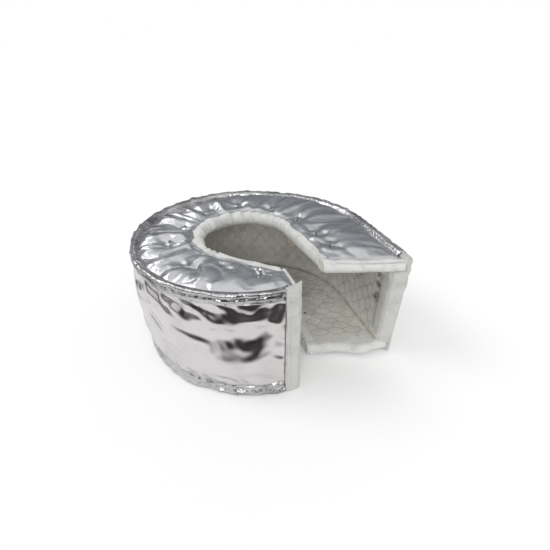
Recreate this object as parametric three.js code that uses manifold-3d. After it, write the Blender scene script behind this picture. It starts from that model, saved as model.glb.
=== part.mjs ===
import * as THREE from 'three';
import { mergeVertices } from 'three/addons/utils/BufferGeometryUtils.js';
import Module from 'manifold-3d';

// A heat blanket for a turbine housing: a padded C-shaped jacket, in millimetres.
// The band stands upright and wraps round from the near end to the far end.
// A padded panel closes it at the top and another at the bottom, each with a hole,
// and the mouth between the two ends of the band is open.
// +Z is up, the mouth faces -Y, and the far arm runs straight on the +X side.
// The origin is the middle of the underside of the whole blanket.

// Driving dimensions of the outline, seen from above and measured from the holes' centre.
const wallHeight = 95;
const outerRadius = 92;
const nearEndReach = 13;
const farArmBulge = 15;
const farArmReach = outerRadius + farArmBulge;
const farArmStart = 15;
const farArmSetBack = 4;
const farArmEnd = outerRadius - farArmSetBack;
const farArmToeIn = 3;
const shoulderDegrees = 62;
const shoulderHandle = 40;
const farArmHandle = 50;
const nearArmDegrees = -135;
const nearFlare = 5;
const nearFlareLength = 45;

// Driving dimensions of the two holes, and of the panels' width at the near and far ends.
const topHole = { radius: 38, nearWidth: 28, farWidth: 64, endSetBack: 21 };
const bottomHole = { radius: 34, nearWidth: 30, farWidth: 74, endSetBack: 18 };

// Driving dimensions of the padding.
const panelThickness = 11;
const wallThickness = 11;
const coverThickness = 0.8;
const liningThickness = 0.8;
const layerGap = 0.3;
const rimDrop = 2.6;
const rimRounding = 12;
const liningRise = 0.5;
const undersideRise = 3;
const undersideRounding = 5;

// Driving dimensions of the tapes and the seams.
const openingTape = 8;
const endTape = 10;
const wallTape = 11;
const tapeThickness = 1.1;
const pleatHeight = 0.9;
const pleatStations = 4;
const seamWidth = 6;
const seamHeight = 7;
const seamProud = 2;
const seamCrumple = 0.7;
const wallTapeEar = 3.5;

// Driving dimensions of the quilting tacks.
const tackHeadRadius = 1.7;
const tackHeadHeight = 1;
const tackHeadLift = 1.4;
const tackThreadRadius = 0.7;
const tackDimple = 2.5;
const tackDimpleRadius = 8;
const tackFade = 7;

// Each tack's station along the band, and how far in it is from the hole.
const topTacks = [
  [4, 13], [9, 20], [13, 28], [21, 24], [27, 15], [36, 17], [42, 20], [50, 16], [59, 16], [65, 18], [68, 19],
];
const bottomTacks = [[8, 15], [20, 15], [32, 15], [44, 15], [56, 15], [66, 15]];

// The covers stand out between the places that hold them.
const topCrown = 2;
const wallCrown = 2.4;
const crownPower = 0.6;

// Folds of the aluminised cloth.
const topFold = 1.1;
const topFoldLength = 24;
const wallFold = 1.3;
const wallFoldLength = 46;
const gatherFold = 0.7;
const gatherLength = 15;

// Broad dents in the band's cover: the middle's place along and as a share of the height,
// half the length and half the height, how much they slant, and how deep they are.
const wallDents = [
  { along: 36, level: 0.86, length: 26, tall: 7, slant: 0.15, depth: 3.4 },
  { along: 46, level: 0.46, length: 24, tall: 13, slant: 0.12, depth: 4.2 },
  { along: 124, level: 0.88, length: 12, tall: 6, slant: 0.2, depth: 3 },
  { along: 186, level: 0.6, length: 26, tall: 12, slant: 0.3, depth: 3.6 },
  { along: 256, level: 0.42, length: 30, tall: 13, slant: -0.2, depth: 3.8 },
  { along: 330, level: 0.66, length: 26, tall: 11, slant: 0.25, depth: 3.6 },
  { along: 404, level: 0.42, length: 28, tall: 12, slant: 0.2, depth: 3.8 },
  { along: 478, level: 0.6, length: 24, tall: 12, slant: -0.25, depth: 3.6 },
];

// Steps along the band for the wrinkled skins, and half as many for the plain layers.
const stations = 72;
const plainStep = 2;
const seamSides = 6;
const tackSides = 5;
const boreSides = 4;

const degrees = Math.PI / 180;
const fullTurn = 360;

// The outline of the band and of a hole, each in four runs that belong together:
// the near arm, the round back, the shoulder and the straight far arm.

function arcRun(radius, fromDegrees, toDegrees) {
  const curve = new THREE.EllipseCurve(
    0, 0, radius, radius, fromDegrees * degrees, toDegrees * degrees, true);
  return curve;
}

function pointAt(radius, angleDegrees) {
  return new THREE.Vector2(
    radius * Math.cos(angleDegrees * degrees), radius * Math.sin(angleDegrees * degrees));
}

function outerRuns() {
  const nearDegrees = -Math.acos(nearEndReach / outerRadius) / degrees;
  const shoulder = pointAt(outerRadius, shoulderDegrees);
  const shoulderWay = new THREE.Vector2(
    Math.sin(shoulderDegrees * degrees), -Math.cos(shoulderDegrees * degrees));
  const armTop = new THREE.Vector2(farArmReach, -farArmStart);
  return [
    arcRun(outerRadius, nearDegrees, nearArmDegrees),
    arcRun(outerRadius, nearArmDegrees, shoulderDegrees - fullTurn),
    new THREE.CubicBezierCurve(
      shoulder,
      shoulder.clone().addScaledVector(shoulderWay, shoulderHandle),
      new THREE.Vector2(farArmReach, farArmHandle - farArmStart),
      armTop),
    new THREE.LineCurve(armTop, new THREE.Vector2(farArmReach - farArmToeIn, -farArmEnd)),
  ];
}

function holeRuns(hole) {
  return [
    new THREE.LineCurve(
      new THREE.Vector2(nearEndReach, hole.nearWidth - outerRadius),
      pointAt(hole.radius, nearArmDegrees)),
    arcRun(hole.radius, nearArmDegrees, shoulderDegrees - fullTurn),
    arcRun(hole.radius, shoulderDegrees, 0),
    new THREE.LineCurve(
      new THREE.Vector2(hole.radius, 0),
      new THREE.Vector2(farArmReach - hole.farWidth, hole.endSetBack - farArmEnd)),
  ];
}

const outer = outerRuns();
const runLengths = outer.map((run) => run.getLength());
const bandLength = runLengths.reduce((sum, length) => sum + length, 0);
const spacing = bandLength / stations;

// A place on the band's length, as a run and how far along that run it is.
function placeOnBand(along) {
  let rest = THREE.MathUtils.clamp(along, 0, bandLength);
  for (let index = 0; index < runLengths.length; index += 1) {
    if (rest <= runLengths[index] || index === runLengths.length - 1) {
      return { index, share: Math.min(1, rest / runLengths[index]) };
    }
    rest -= runLengths[index];
  }
  return null;
}

// A panel is the strip between the band's outline and one hole's outline.
// Its point() takes the distance along the band, the distance in from the outline and the height.
// Before the near end and past the far end it goes on square to the end.
function makePanel(hole, tacks) {
  const inner = holeRuns(hole);
  const tackStations = tacks.map(([station]) => station);

  function edges(along) {
    const { index, share } = placeOnBand(along);
    const outside = outer[index].getPointAt(share);
    const inside = inner[index].getPointAt(share);
    return { outside, inward: inside.sub(outside) };
  }

  function width(along) {
    return edges(along).inward.length();
  }

  function point(along, inFrom, height) {
    const { outside, inward } = edges(along);
    const way = inward.normalize();
    const past = along < 0 ? along : Math.max(0, along - bandLength);
    const flare = nearFlare * (1 - height / wallHeight) * Math.exp(-((along / nearFlareLength) ** 2));
    const across = inFrom - flare;
    return new THREE.Vector3(
      outside.x + way.x * across - way.y * past,
      outside.y + way.y * across + way.x * past,
      height);
  }

  // The tacks' line wanders between its tacks, and is level past the first and the last.
  function tackInset(along) {
    const station = along / spacing;
    const next = tacks.findIndex(([place]) => place >= station);
    if (next === 0) return tacks[0][1];
    if (next < 0) return tacks[tacks.length - 1][1];
    const [start, startInset] = tacks[next - 1];
    const [end, endInset] = tacks[next];
    return THREE.MathUtils.mapLinear(station, start, end, startInset, endInset);
  }

  return { width, point, tackStations, tackInset };
}

const topPanel = makePanel(topHole, topTacks);
const bottomPanel = makePanel(bottomHole, bottomTacks);

// The band stands between the two panels, and its place turns from one panel's to the other's.
const wallBottom = panelThickness + layerGap;
const wallTop = wallHeight - panelThickness - layerGap;

function wallPoint(along, inFrom, height) {
  const share = THREE.MathUtils.clamp((height - wallBottom) / (wallTop - wallBottom), 0, 1);
  const low = bottomPanel.point(along, inFrom, height);
  return low.lerp(topPanel.point(along, inFrom, height), share);
}

// A closed body between a front sheet and a back sheet, which share one grid of places.
function sheetBody(name, finish, columns, rows, front, back) {
  const positions = [];
  const faces = [];
  for (const sheet of [front, back]) {
    for (const column of columns) {
      for (const row of rows) {
        positions.push(...sheet(column, row).toArray());
      }
    }
  }
  const across = rows.length;
  const sheetSize = columns.length * across;

  function quad(a, b, c, d) {
    faces.push(a, b, c, a, c, d);
  }

  for (let i = 0; i + 1 < columns.length; i += 1) {
    for (let j = 0; j + 1 < across; j += 1) {
      const here = i * across + j;
      quad(here, here + across, here + across + 1, here + 1);
      const under = here + sheetSize;
      quad(under, under + 1, under + across + 1, under + across);
    }
  }
  const rim = [];
  for (let i = 0; i < columns.length; i += 1) rim.push(i * across);
  for (let j = 1; j < across; j += 1) rim.push((columns.length - 1) * across + j);
  for (let i = columns.length - 2; i >= 0; i -= 1) rim.push(i * across + across - 1);
  for (let j = across - 2; j > 0; j -= 1) rim.push(j);
  rim.forEach((corner, order) => {
    const next = rim[(order + 1) % rim.length];
    quad(corner, corner + sheetSize, next + sheetSize, next);
  });
  return bodyMesh(name, finish, positions, faces);
}

// A closed body from a ring of points at each step along the band, closed by a fan at both ends.
function ropeBody(name, finish, columns, ring) {
  const positions = [];
  const faces = [];
  const rings = columns.map(ring);
  const sides = rings[0].length;
  rings.forEach((points) => points.forEach((place) => positions.push(...place.toArray())));
  for (let i = 0; i + 1 < rings.length; i += 1) {
    for (let j = 0; j < sides; j += 1) {
      const a = i * sides + j;
      const b = i * sides + (j + 1) % sides;
      faces.push(a, b, b + sides, a, b + sides, a + sides);
    }
  }
  const last = (rings.length - 1) * sides;
  for (let j = 1; j + 1 < sides; j += 1) {
    faces.push(0, j + 1, j, last, last + j, last + j + 1);
  }
  return bodyMesh(name, finish, positions, faces);
}

// The faces are turned to point out, whichever way the grid ran.
function bodyMesh(name, finish, positions, faces) {
  let volume = 0;
  const corners = [new THREE.Vector3(), new THREE.Vector3(), new THREE.Vector3()];
  for (let i = 0; i < faces.length; i += 3) {
    corners.forEach((corner, k) => corner.fromArray(positions, faces[i + k] * 3));
    volume += corners[0].dot(corners[1].clone().cross(corners[2]));
  }
  if (volume < 0) faces.reverse();
  const geometry = new THREE.BufferGeometry();
  geometry.setAttribute('position', new THREE.Float32BufferAttribute(positions, 3));
  geometry.setIndex(faces);
  geometry.computeVertexNormals();
  const mesh = new THREE.Mesh(geometry, finish);
  mesh.name = name;
  return mesh;
}

function finish(color, roughness, metalness) {
  return new THREE.MeshStandardMaterial({ color, roughness, metalness });
}

const foilFinish = () => finish(0xc4c7cd, 0.25, 0.9);
const seamFinish = () => finish(0xaeb1b6, 0.35, 0.8);
const liningFinish = () => finish(0xa5a39b, 0.9, 0);
const matFinish = () => finish(0xe6dfcc, 1, 0);
const tapeFinish = () => finish(0xe4e6e2, 0.85, 0);
const threadFinish = () => finish(0x5b5d62, 0.5, 0.6);

// Places along the band, between two distances, on the wrinkled skins' own stations.
function alongFrom(start, end, step = 1, kept = []) {
  const places = [start];
  for (let index = 0; index <= stations; index += 1) {
    const place = index * spacing;
    const used = index % step === 0 || kept.includes(index);
    if (used && place > start + spacing / 2 && place < end - spacing / 2) places.push(place);
  }
  places.push(end);
  return places;
}

function smooth(value) {
  const share = THREE.MathUtils.clamp(value, 0, 1);
  return share * share * (3 - 2 * share);
}

// How much a panel has thinned at a place near one of its rims, from 0 to 1.
function rimShare(distance) {
  return 1 - smooth(distance / rimRounding);
}

// What happens between the tapes fades out under them.
function clearOfTape(inFrom, width) {
  return smooth((width - inFrom - openingTape) / tackFade);
}

// Dimples round the quilting tacks, as a share of their depth.
function dimple(panel, along, inFrom) {
  const fromHole = panel.width(along) - inFrom;
  let deepest = 0;
  for (const station of panel.tackStations) {
    const middle = station * spacing;
    const away = Math.hypot(along - middle, fromHole - panel.tackInset(middle));
    deepest = Math.max(deepest, Math.exp(-((away / tackDimpleRadius) ** 2)));
  }
  return deepest * clearOfTape(inFrom, inFrom + fromHole);
}

// Folds that run from the outer seam to the hole, and fade out under the tapes.
function clearOfEnds(along, tape) {
  return smooth((along - tape) / tape) * smooth((bandLength - along - tape) / tape);
}

function topFolds(along, inFrom, width) {
  const wave = Math.sin((2 * Math.PI * along) / topFoldLength + 0.05 * inFrom)
    + 0.5 * Math.sin((2 * Math.PI * along) / (topFoldLength * 2.3) + 1);
  const flatAtTacks = 1 - dimple(topPanel, along, inFrom);
  return topFold * wave * clearOfTape(inFrom, width) * clearOfEnds(along, endTape) * flatAtTacks;
}

// How far in from the outline the seams reach.
const seamInset = seamWidth - seamProud;

// The covers' crowns, for a share of the way between the places that hold them.
function crownShape(share) {
  return Math.sin(Math.PI * THREE.MathUtils.clamp(share, 0, 1)) ** crownPower;
}

function topPillow(along, inFrom, width) {
  const share = (inFrom - seamInset) / (width - openingTape - seamInset);
  return topCrown * crownShape(share) * clearOfEnds(along, endTape);
}

// Heights of the top panel's two faces. The cover's face has the folds and the dimples,
// and the mat under it lies below the deepest of them.
const deepestFold = 1.5 * topFold;

function foldRoom(along, inFrom, width) {
  const clearOfRims = smooth(Math.min(along, bandLength - along) / endTape);
  return deepestFold * clearOfTape(inFrom, width) * clearOfRims;
}

function topFace(along, inFrom, folded) {
  const width = topPanel.width(along);
  const fromRim = Math.min(width - inFrom, inFrom, along, bandLength - along);
  const plain = wallHeight - rimDrop * rimShare(fromRim) + topPillow(along, inFrom, width);
  const dip = tackDimple * dimple(topPanel, along, inFrom);
  return plain - dip + (folded ? topFolds(along, inFrom, width) : -foldRoom(along, inFrom, width));
}

function topUnderside(along, inFrom) {
  const width = topPanel.width(along);
  const fromRim = Math.min(width - inFrom, along, bandLength - along);
  return wallHeight - panelThickness + liningRise * rimShare(fromRim);
}

// Heights of the bottom panel's two faces. Its underside lies flat but for the rims and dimples.
function bottomFace(along, inFrom) {
  const width = bottomPanel.width(along);
  const fromRim = Math.min(width - inFrom, inFrom, along, bandLength - along);
  const raised = 1 - smooth((fromRim - endTape) / undersideRounding);
  return undersideRise * raised + tackDimple * dimple(bottomPanel, along, inFrom);
}

function bottomUpside(along, inFrom) {
  const width = bottomPanel.width(along);
  const fromRim = Math.min(width - inFrom, along, bandLength - along);
  return panelThickness - liningRise * rimShare(fromRim);
}

// Rows across a panel: close together at the seam, at the tacks and at the hole.
const panelStart = seamInset + layerGap;

function panelRows(fine) {
  const coverRows = [
    () => panelStart,
    (width, inset) => THREE.MathUtils.lerp(panelStart, width - inset, 0.33),
    (width, inset) => THREE.MathUtils.lerp(panelStart, width - inset, 0.67),
    (width, inset) => width - inset,
    (width) => width - openingTape,
    (width) => width,
  ];
  const plainRows = [coverRows[0], coverRows[3], coverRows[4], coverRows[5]];
  return fine ? coverRows : plainRows;
}

function panelLayer(name, material, panel, step, fine, upper, lower) {
  const betweenTapes = alongFrom(endTape, bandLength - endTape, step, panel.tackStations);
  const columns = [0, ...betweenTapes, bandLength];
  const place = (height) => (along, row) => {
    const inFrom = row(panel.width(along), panel.tackInset(along));
    return panel.point(along, inFrom, height(along, inFrom));
  };
  return sheetBody(name, material, columns, panelRows(fine), place(upper), place(lower));
}

const coverAndGap = coverThickness + layerGap;
const liningAndGap = liningThickness + layerGap;

function topLayers() {
  return [
    panelLayer('top_cover', foilFinish(), topPanel, 1, true,
      (along, inFrom) => topFace(along, inFrom, true),
      (along, inFrom) => topFace(along, inFrom, true) - coverThickness),
    panelLayer('top_insulation', matFinish(), topPanel, plainStep, false,
      (along, inFrom) => topFace(along, inFrom, false) - coverAndGap,
      (along, inFrom) => topUnderside(along, inFrom) + liningAndGap),
    panelLayer('top_lining', liningFinish(), topPanel, plainStep, false,
      (along, inFrom) => topUnderside(along, inFrom) + liningThickness,
      (along, inFrom) => topUnderside(along, inFrom)),
  ];
}

function bottomLayers() {
  return [
    panelLayer('bottom_cover', foilFinish(), bottomPanel, plainStep, true,
      (along, inFrom) => bottomFace(along, inFrom) + coverThickness,
      (along, inFrom) => bottomFace(along, inFrom)),
    panelLayer('bottom_insulation', matFinish(), bottomPanel, plainStep, true,
      (along, inFrom) => bottomUpside(along, inFrom) - liningAndGap,
      (along, inFrom) => bottomFace(along, inFrom) + coverAndGap),
    panelLayer('bottom_lining', liningFinish(), bottomPanel, plainStep, false,
      (along, inFrom) => bottomUpside(along, inFrom),
      (along, inFrom) => bottomUpside(along, inFrom) - liningThickness),
  ];
}

// The band's layers stand between the two panels, and its cover reaches up to the seams.
const coverBottom = seamHeight + 2 * (seamCrumple + layerGap);
const coverTop = wallHeight - seamHeight + layerGap;

// Above its middle a dent goes in, and below it the cover comes out again.
function wallDent(along, height) {
  let inward = 0;
  for (const dent of wallDents) {
    const away = along - dent.along;
    const rise = (height - dent.level * wallHeight + dent.slant * away) / dent.tall;
    inward += dent.depth * rise * Math.exp(-0.5 * rise ** 2 - 0.5 * (away / dent.length) ** 4);
  }
  return inward;
}

// The crown starts well clear of the end tapes.
const crownStart = 1.5 * wallTape;
const dentFade = 0.15;

function wallFolds(along, height) {
  const share = (height - coverBottom) / (coverTop - coverBottom);
  const slack = wallFold * Math.sin(Math.PI * share)
    * Math.sin((2 * Math.PI * along) / wallFoldLength + 2.2 * share);
  const gather = gatherFold * (2 * share - 1) ** 2 * Math.sin((2 * Math.PI * along) / gatherLength);
  const crown = wallCrown * crownShape(share);
  const dents = wallDent(along, height) * smooth(share / dentFade) * smooth((1 - share) / dentFade);
  return (slack + gather) * clearOfEnds(along, wallTape)
    + (dents - crown) * clearOfEnds(along, crownStart);
}

const wallFoldRoom = wallFold + gatherFold;

function wallLayer(name, material, step, heights, outside, inside) {
  const place = (inFrom) => (along, height) => wallPoint(along, inFrom(along, height), height);
  return sheetBody(name, material, alongFrom(0, bandLength, step), heights, place(outside), place(inside));
}

function heightsBetween(low, high, shares) {
  return shares.map((share) => THREE.MathUtils.lerp(low, high, share));
}

function wallLayers() {
  const room = (along) => wallFoldRoom * smooth((along - wallTape / 2) / wallTape)
    * smooth((bandLength - along - wallTape / 2) / wallTape);
  const liningAt = wallThickness - liningThickness;
  return [
    wallLayer('wall_cover', foilFinish(), 1,
      heightsBetween(coverBottom, coverTop, [0, 0.1, 0.26, 0.42, 0.58, 0.74, 0.9, 1]),
      (along, height) => wallFolds(along, height),
      (along, height) => wallFolds(along, height) + coverThickness),
    wallLayer('wall_insulation', matFinish(), plainStep,
      heightsBetween(wallBottom, wallTop, [0, 0.5, 1]),
      (along) => coverAndGap + room(along),
      () => liningAt - layerGap),
    wallLayer('wall_lining', liningFinish(), plainStep,
      heightsBetween(wallBottom, wallTop, [0, 0.5, 1]),
      () => liningAt,
      () => wallThickness),
  ];
}

// A seam is a crumpled ridge in the corner between the band and a panel.
const crumpleLengths = [11, 7.5];

function seamRidge(name, heightOf) {
  const start = wallTape + layerGap;
  const end = bandLength - wallTape - layerGap;
  const halfWidth = seamWidth / 2;
  const halfHeight = seamHeight / 2;
  const middle = seamInset - halfWidth;
  return ropeBody(name, seamFinish(), alongFrom(start, end), (along) => {
    const ring = [];
    for (let side = 0; side < seamSides; side += 1) {
      const angle = ((side + 0.5) / seamSides) * 2 * Math.PI;
      const crumple = seamCrumple * (Math.sin((2 * Math.PI * along) / crumpleLengths[0] + side)
        + Math.sin((2 * Math.PI * along) / crumpleLengths[1] + 2 * side));
      const outward = Math.cos(angle) < 0 && Math.sin(angle) > 0 ? crumple : -Math.abs(crumple) / 2;
      const inFrom = middle + (halfWidth + outward) * Math.cos(angle);
      ring.push(wallPoint(along, inFrom, heightOf((halfHeight + outward) * Math.sin(angle))));
    }
    return ring;
  });
}

function seams() {
  const halfHeight = seamHeight / 2;
  const upper = wallHeight + seamProud - halfHeight + layerGap;
  const lower = halfHeight + layerGap + 2 * seamCrumple;
  return [
    seamRidge('top_outer_seam', (rise) => upper + rise),
    seamRidge('bottom_outer_seam', (rise) => lower - rise),
  ];
}

// A tape folded over the rim of a panel: over the cover, round the rim and back on the lining.
// Each fold place has how far it is in from the rim, which face it is on and how puffed it is.
const tapeFolds = [
  { back: 1, side: 1, puff: 0.3 },
  { back: 0, side: 1, puff: 1 },
  { back: 0, side: -1, puff: 0.3 },
  { back: 1, side: -1, puff: 0 },
];

// The tape round a hole, with its pleats.
function openingBinding(name, panel, step, upper, lower, rise) {
  const start = endTape + layerGap;
  const end = bandLength - endTape - layerGap;
  const columns = alongFrom(start, end, step, panel.tackStations);
  const order = new Map(columns.map((along, index) => [along, index]));
  const place = (lift) => (along, fold) => {
    const width = panel.width(along);
    const inFrom = width - fold.back * openingTape;
    const surface = fold.side > 0 ? upper(along, inFrom) : lower(along, inFrom);
    const pleat = lift > layerGap && order.get(along) % pleatStations === 0 ? pleatHeight : 0;
    const height = surface + fold.side * (lift + rise * pleat * fold.puff);
    const beyond = fold.back === 0 ? lift + rise * pleat * fold.puff : 0;
    return panel.point(along, inFrom + beyond, height);
  };
  return sheetBody(name, tapeFinish(), columns, tapeFolds, place(layerGap + tapeThickness), place(layerGap));
}

// The tape over one end of a panel, from the band's tape to the hole.
function panelEndBinding(name, panel, atStart, outerFaceUp, upper, lower) {
  const clearOfBandTape = wallTapeDepth + layerGap;
  const clearOfBand = wallThickness + tapeThickness + 2 * layerGap;
  const columns = [
    (from, width) => from,
    (from, width) => (from + width - openingTape) / 2,
    (from, width) => width - openingTape,
    (from, width) => width,
  ];
  const place = (lift) => (column, fold) => {
    const beyond = fold.back === 0 ? lift : 0;
    const along = atStart ? fold.back * endTape - beyond : bandLength - fold.back * endTape + beyond;
    const from = (fold.side > 0) === outerFaceUp ? clearOfBandTape : clearOfBand;
    const inFrom = column(from, panel.width(along));
    const onPanel = THREE.MathUtils.clamp(along, 0, bandLength);
    const surface = fold.side > 0 ? upper(onPanel, inFrom) : lower(onPanel, inFrom);
    const puff = lift > layerGap ? fold.puff * pleatHeight : 0;
    return panel.point(along, inFrom, surface + fold.side * (lift + puff));
  };
  return sheetBody(name, tapeFinish(), columns, tapeFolds, place(layerGap + tapeThickness), place(layerGap));
}

// The upright tape over one end of the band. Above and below the padding of the wall
// it only reaches as far in as the panels' own end tapes.
const wallTapeDepth = 8;

function wallBinding(name, atStart) {
  const fullLow = layerGap;
  const fullHigh = wallHeight + wallTapeEar;
  const innerLow = wallBottom + layerGap;
  const innerHigh = wallTop - layerGap;
  const folds = [
    { back: 1, depth: 0, low: fullLow, high: wallHeight + seamProud, out: 1, past: 0 },
    { back: 0.5, depth: 0, low: fullLow, high: wallHeight + seamProud, out: 1, past: 0 },
    { back: 0, depth: 0, low: fullLow, high: fullHigh, out: 1, past: 1 },
    { back: 0, depth: wallTapeDepth - layerGap, low: fullLow, high: fullHigh, out: 0, past: 1 },
    { back: 0, depth: wallTapeDepth, low: innerLow, high: innerHigh, out: 0, past: 1 },
    { back: 0, depth: wallThickness, low: innerLow, high: innerHigh, out: -1, past: 1 },
    { back: 1, depth: wallThickness, low: innerLow, high: innerHigh, out: -1, past: 0 },
  ];
  const place = (lift) => (share, fold) => {
    const beyond = fold.past * lift;
    const along = atStart ? fold.back * wallTape - beyond : bandLength - fold.back * wallTape + beyond;
    const height = THREE.MathUtils.lerp(fold.low, fold.high, share);
    return wallPoint(along, fold.depth - fold.out * lift, height);
  };
  const shares = [0, 0.25, 0.5, 0.75, 1];
  return sheetBody(name, tapeFinish(), shares, folds, place(layerGap + tapeThickness), place(layerGap));
}

function bindings() {
  const topCoverFace = (along, inFrom) => topFace(along, inFrom, true);
  return [
    openingBinding('top_opening_binding', topPanel, 1, topCoverFace, topUnderside, 1),
    openingBinding('bottom_opening_binding', bottomPanel, plainStep, bottomUpside, bottomFace, 0),
    wallBinding('wall_near_binding', true),
    wallBinding('wall_far_binding', false),
    panelEndBinding('top_near_binding', topPanel, true, true, topCoverFace, topUnderside),
    panelEndBinding('top_far_binding', topPanel, false, true, topCoverFace, topUnderside),
    panelEndBinding('bottom_near_binding', bottomPanel, true, false, bottomUpside, bottomFace),
    panelEndBinding('bottom_mouth_binding', bottomPanel, false, false, bottomUpside, bottomFace),
  ];
}

// A tack is a thread through the padding with a knot on both faces.
function tackPlace(panel, station) {
  const along = station * spacing;
  const inFrom = panel.width(along) - panel.tackInset(along);
  return { along, inFrom };
}

function tackMesh(name, panel, station, upper, lower) {
  const { along, inFrom } = tackPlace(panel, station);
  const high = upper(along, inFrom) + tackHeadLift;
  const low = lower(along, inFrom) - tackHeadLift;
  const profile = [
    [0, low - tackHeadHeight],
    [tackHeadRadius, low - tackHeadHeight],
    [tackHeadRadius, low],
    [tackThreadRadius, low],
    [tackThreadRadius, high],
    [tackHeadRadius, high],
    [tackHeadRadius * 0.7, high + tackHeadHeight],
    [0, high + tackHeadHeight],
  ].map(([radius, height]) => new THREE.Vector2(radius, height));
  const turned = new THREE.LatheGeometry(profile, tackSides);
  turned.rotateX(Math.PI / 2);
  const mesh = new THREE.Mesh(turned, threadFinish());
  mesh.name = name;
  const foot = panel.point(along, inFrom, 0);
  mesh.position.set(foot.x, foot.y, 0);
  return mesh;
}

function tacks() {
  const topCoverFace = (along, inFrom) => topFace(along, inFrom, true);
  return [
    ...topPanel.tackStations.map((station, index) => tackMesh(
      `top_tack_${index + 1}`, topPanel, station, topCoverFace, topUnderside)),
    ...bottomPanel.tackStations.map((station, index) => tackMesh(
      `bottom_tack_${index + 1}`, bottomPanel, station, bottomUpside, bottomFace)),
  ];
}

// The layers of a panel are pierced where its tacks pass.
const wasm = await Module();
wasm.setup();

function solidOf(geometry) {
  const bare = geometry.clone();
  bare.deleteAttribute('normal');
  bare.deleteAttribute('uv');
  const merged = mergeVertices(bare);
  return new wasm.Manifold(new wasm.Mesh({
    numProp: 3,
    vertProperties: new Float32Array(merged.attributes.position.array),
    triVerts: new Uint32Array(merged.index.array),
  }));
}

// A square bore of this corner radius clears the thread on all its sides.
const boreRadius = (tackThreadRadius + layerGap) * Math.SQRT2;

function pierce(mesh, panel) {
  let solid = solidOf(mesh.geometry);
  for (const station of panel.tackStations) {
    const { along, inFrom } = tackPlace(panel, station);
    const foot = panel.point(along, inFrom, 0);
    const bore = new THREE.CylinderGeometry(
      boreRadius, boreRadius, 2 * wallHeight, boreSides);
    bore.rotateX(Math.PI / 2);
    bore.translate(foot.x, foot.y, wallHeight / 2);
    solid = solid.subtract(solidOf(bore));
  }
  const pierced = solid.getMesh();
  const geometry = new THREE.BufferGeometry();
  geometry.setAttribute('position', new THREE.BufferAttribute(pierced.vertProperties, 3));
  geometry.setIndex(new THREE.BufferAttribute(pierced.triVerts, 1));
  geometry.computeVertexNormals();
  mesh.geometry = geometry;
  return mesh;
}

const blanket = new THREE.Group();
blanket.add(...wallLayers());
blanket.add(...topLayers().map((mesh) => pierce(mesh, topPanel)));
blanket.add(...bottomLayers().map((mesh) => pierce(mesh, bottomPanel)));
blanket.add(...bindings());
blanket.add(...seams());
blanket.add(...tacks());

// The whole blanket is moved so that the middle of its underside is the origin.
blanket.updateMatrixWorld(true);
const box = new THREE.Box3().setFromObject(blanket, true);
const middle = box.getCenter(new THREE.Vector3());
blanket.position.set(-middle.x, -middle.y, -box.min.z);

export default blanket;
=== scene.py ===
# %% [markdown]
# A heat blanket keeps the heat of a turbocharger's turbine housing inside. It is sewn from three
# padded parts: an upright band and two panels, each panel with a large hole. Outside there is
# aluminised cloth, inside a grey cloth with a fine wire mesh, and the raw edges are bound with
# white glass tape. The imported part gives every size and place. This script makes the cloth.

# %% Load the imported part
import math

import bpy
import numpy as np
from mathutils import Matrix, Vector


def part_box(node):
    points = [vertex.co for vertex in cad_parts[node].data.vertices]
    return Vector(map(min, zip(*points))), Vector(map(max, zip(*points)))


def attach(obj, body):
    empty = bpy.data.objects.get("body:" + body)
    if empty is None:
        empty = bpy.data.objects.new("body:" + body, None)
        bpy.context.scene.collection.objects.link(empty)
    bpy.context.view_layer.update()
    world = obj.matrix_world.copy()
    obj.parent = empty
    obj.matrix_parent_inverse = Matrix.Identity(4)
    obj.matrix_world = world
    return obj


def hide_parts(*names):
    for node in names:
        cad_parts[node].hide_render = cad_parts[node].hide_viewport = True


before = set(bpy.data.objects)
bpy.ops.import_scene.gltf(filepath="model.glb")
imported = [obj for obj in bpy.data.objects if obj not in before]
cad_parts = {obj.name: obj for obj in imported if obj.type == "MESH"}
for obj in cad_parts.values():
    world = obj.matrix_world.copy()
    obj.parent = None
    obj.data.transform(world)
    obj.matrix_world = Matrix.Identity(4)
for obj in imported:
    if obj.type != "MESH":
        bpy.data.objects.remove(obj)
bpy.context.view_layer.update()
MM = 0.001
print("nodes", len(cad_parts))

# %% [markdown]
# The cloth is drawn on the same outline as the part: a round back, a shoulder and a straight far
# arm. A place on the blanket is told by how far along the band it is, how far in from the band's
# outside, and how high. So a fold or a seam can be written as a simple formula of those three.

# %% Sizes of the blanket, in millimetres
WALL_HEIGHT = 95
OUTER_RADIUS = 92
NEAR_END_REACH = 13
FAR_ARM_REACH = 107
FAR_ARM_START = 15
FAR_ARM_END = 88
FAR_ARM_TOE_IN = 3
SHOULDER_DEGREES = 62
SHOULDER_HANDLE = 40
FAR_ARM_HANDLE = 50
NEAR_ARM_DEGREES = -135
NEAR_FLARE = 5
NEAR_FLARE_LENGTH = 45
PANEL_THICKNESS = 11
WALL_THICKNESS = 11
LINING_THICKNESS = 0.8
STATIONS = 72
# Each tack's station along the band, and how far in it is from the hole.
TOP_TACKS = [(4, 13), (9, 20), (13, 28), (21, 24), (27, 15), (36, 17),
             (42, 20), (50, 16), (59, 16), (65, 18), (68, 19)]
BOTTOM_TACKS = [(8, 15), (20, 15), (32, 15), (44, 15), (56, 15), (66, 15)]
# The two holes: their radius, how far back the near end lies, and the far arm's reach and end.
TOP_HOLE = {"radius": 38, "near_end": 64, "arm_reach": 43, "arm_end": 67}
BOTTOM_HOLE = {"radius": 34, "near_end": 62, "arm_reach": 33, "arm_end": 70}
FULL_TURN = 360
SAMPLES = 400


# %% The outline of the band and of a hole
def arc(radius, start, end):
    angle = np.radians(np.linspace(start, end, SAMPLES))
    return np.stack([radius * np.cos(angle), radius * np.sin(angle)], axis=1)


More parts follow.
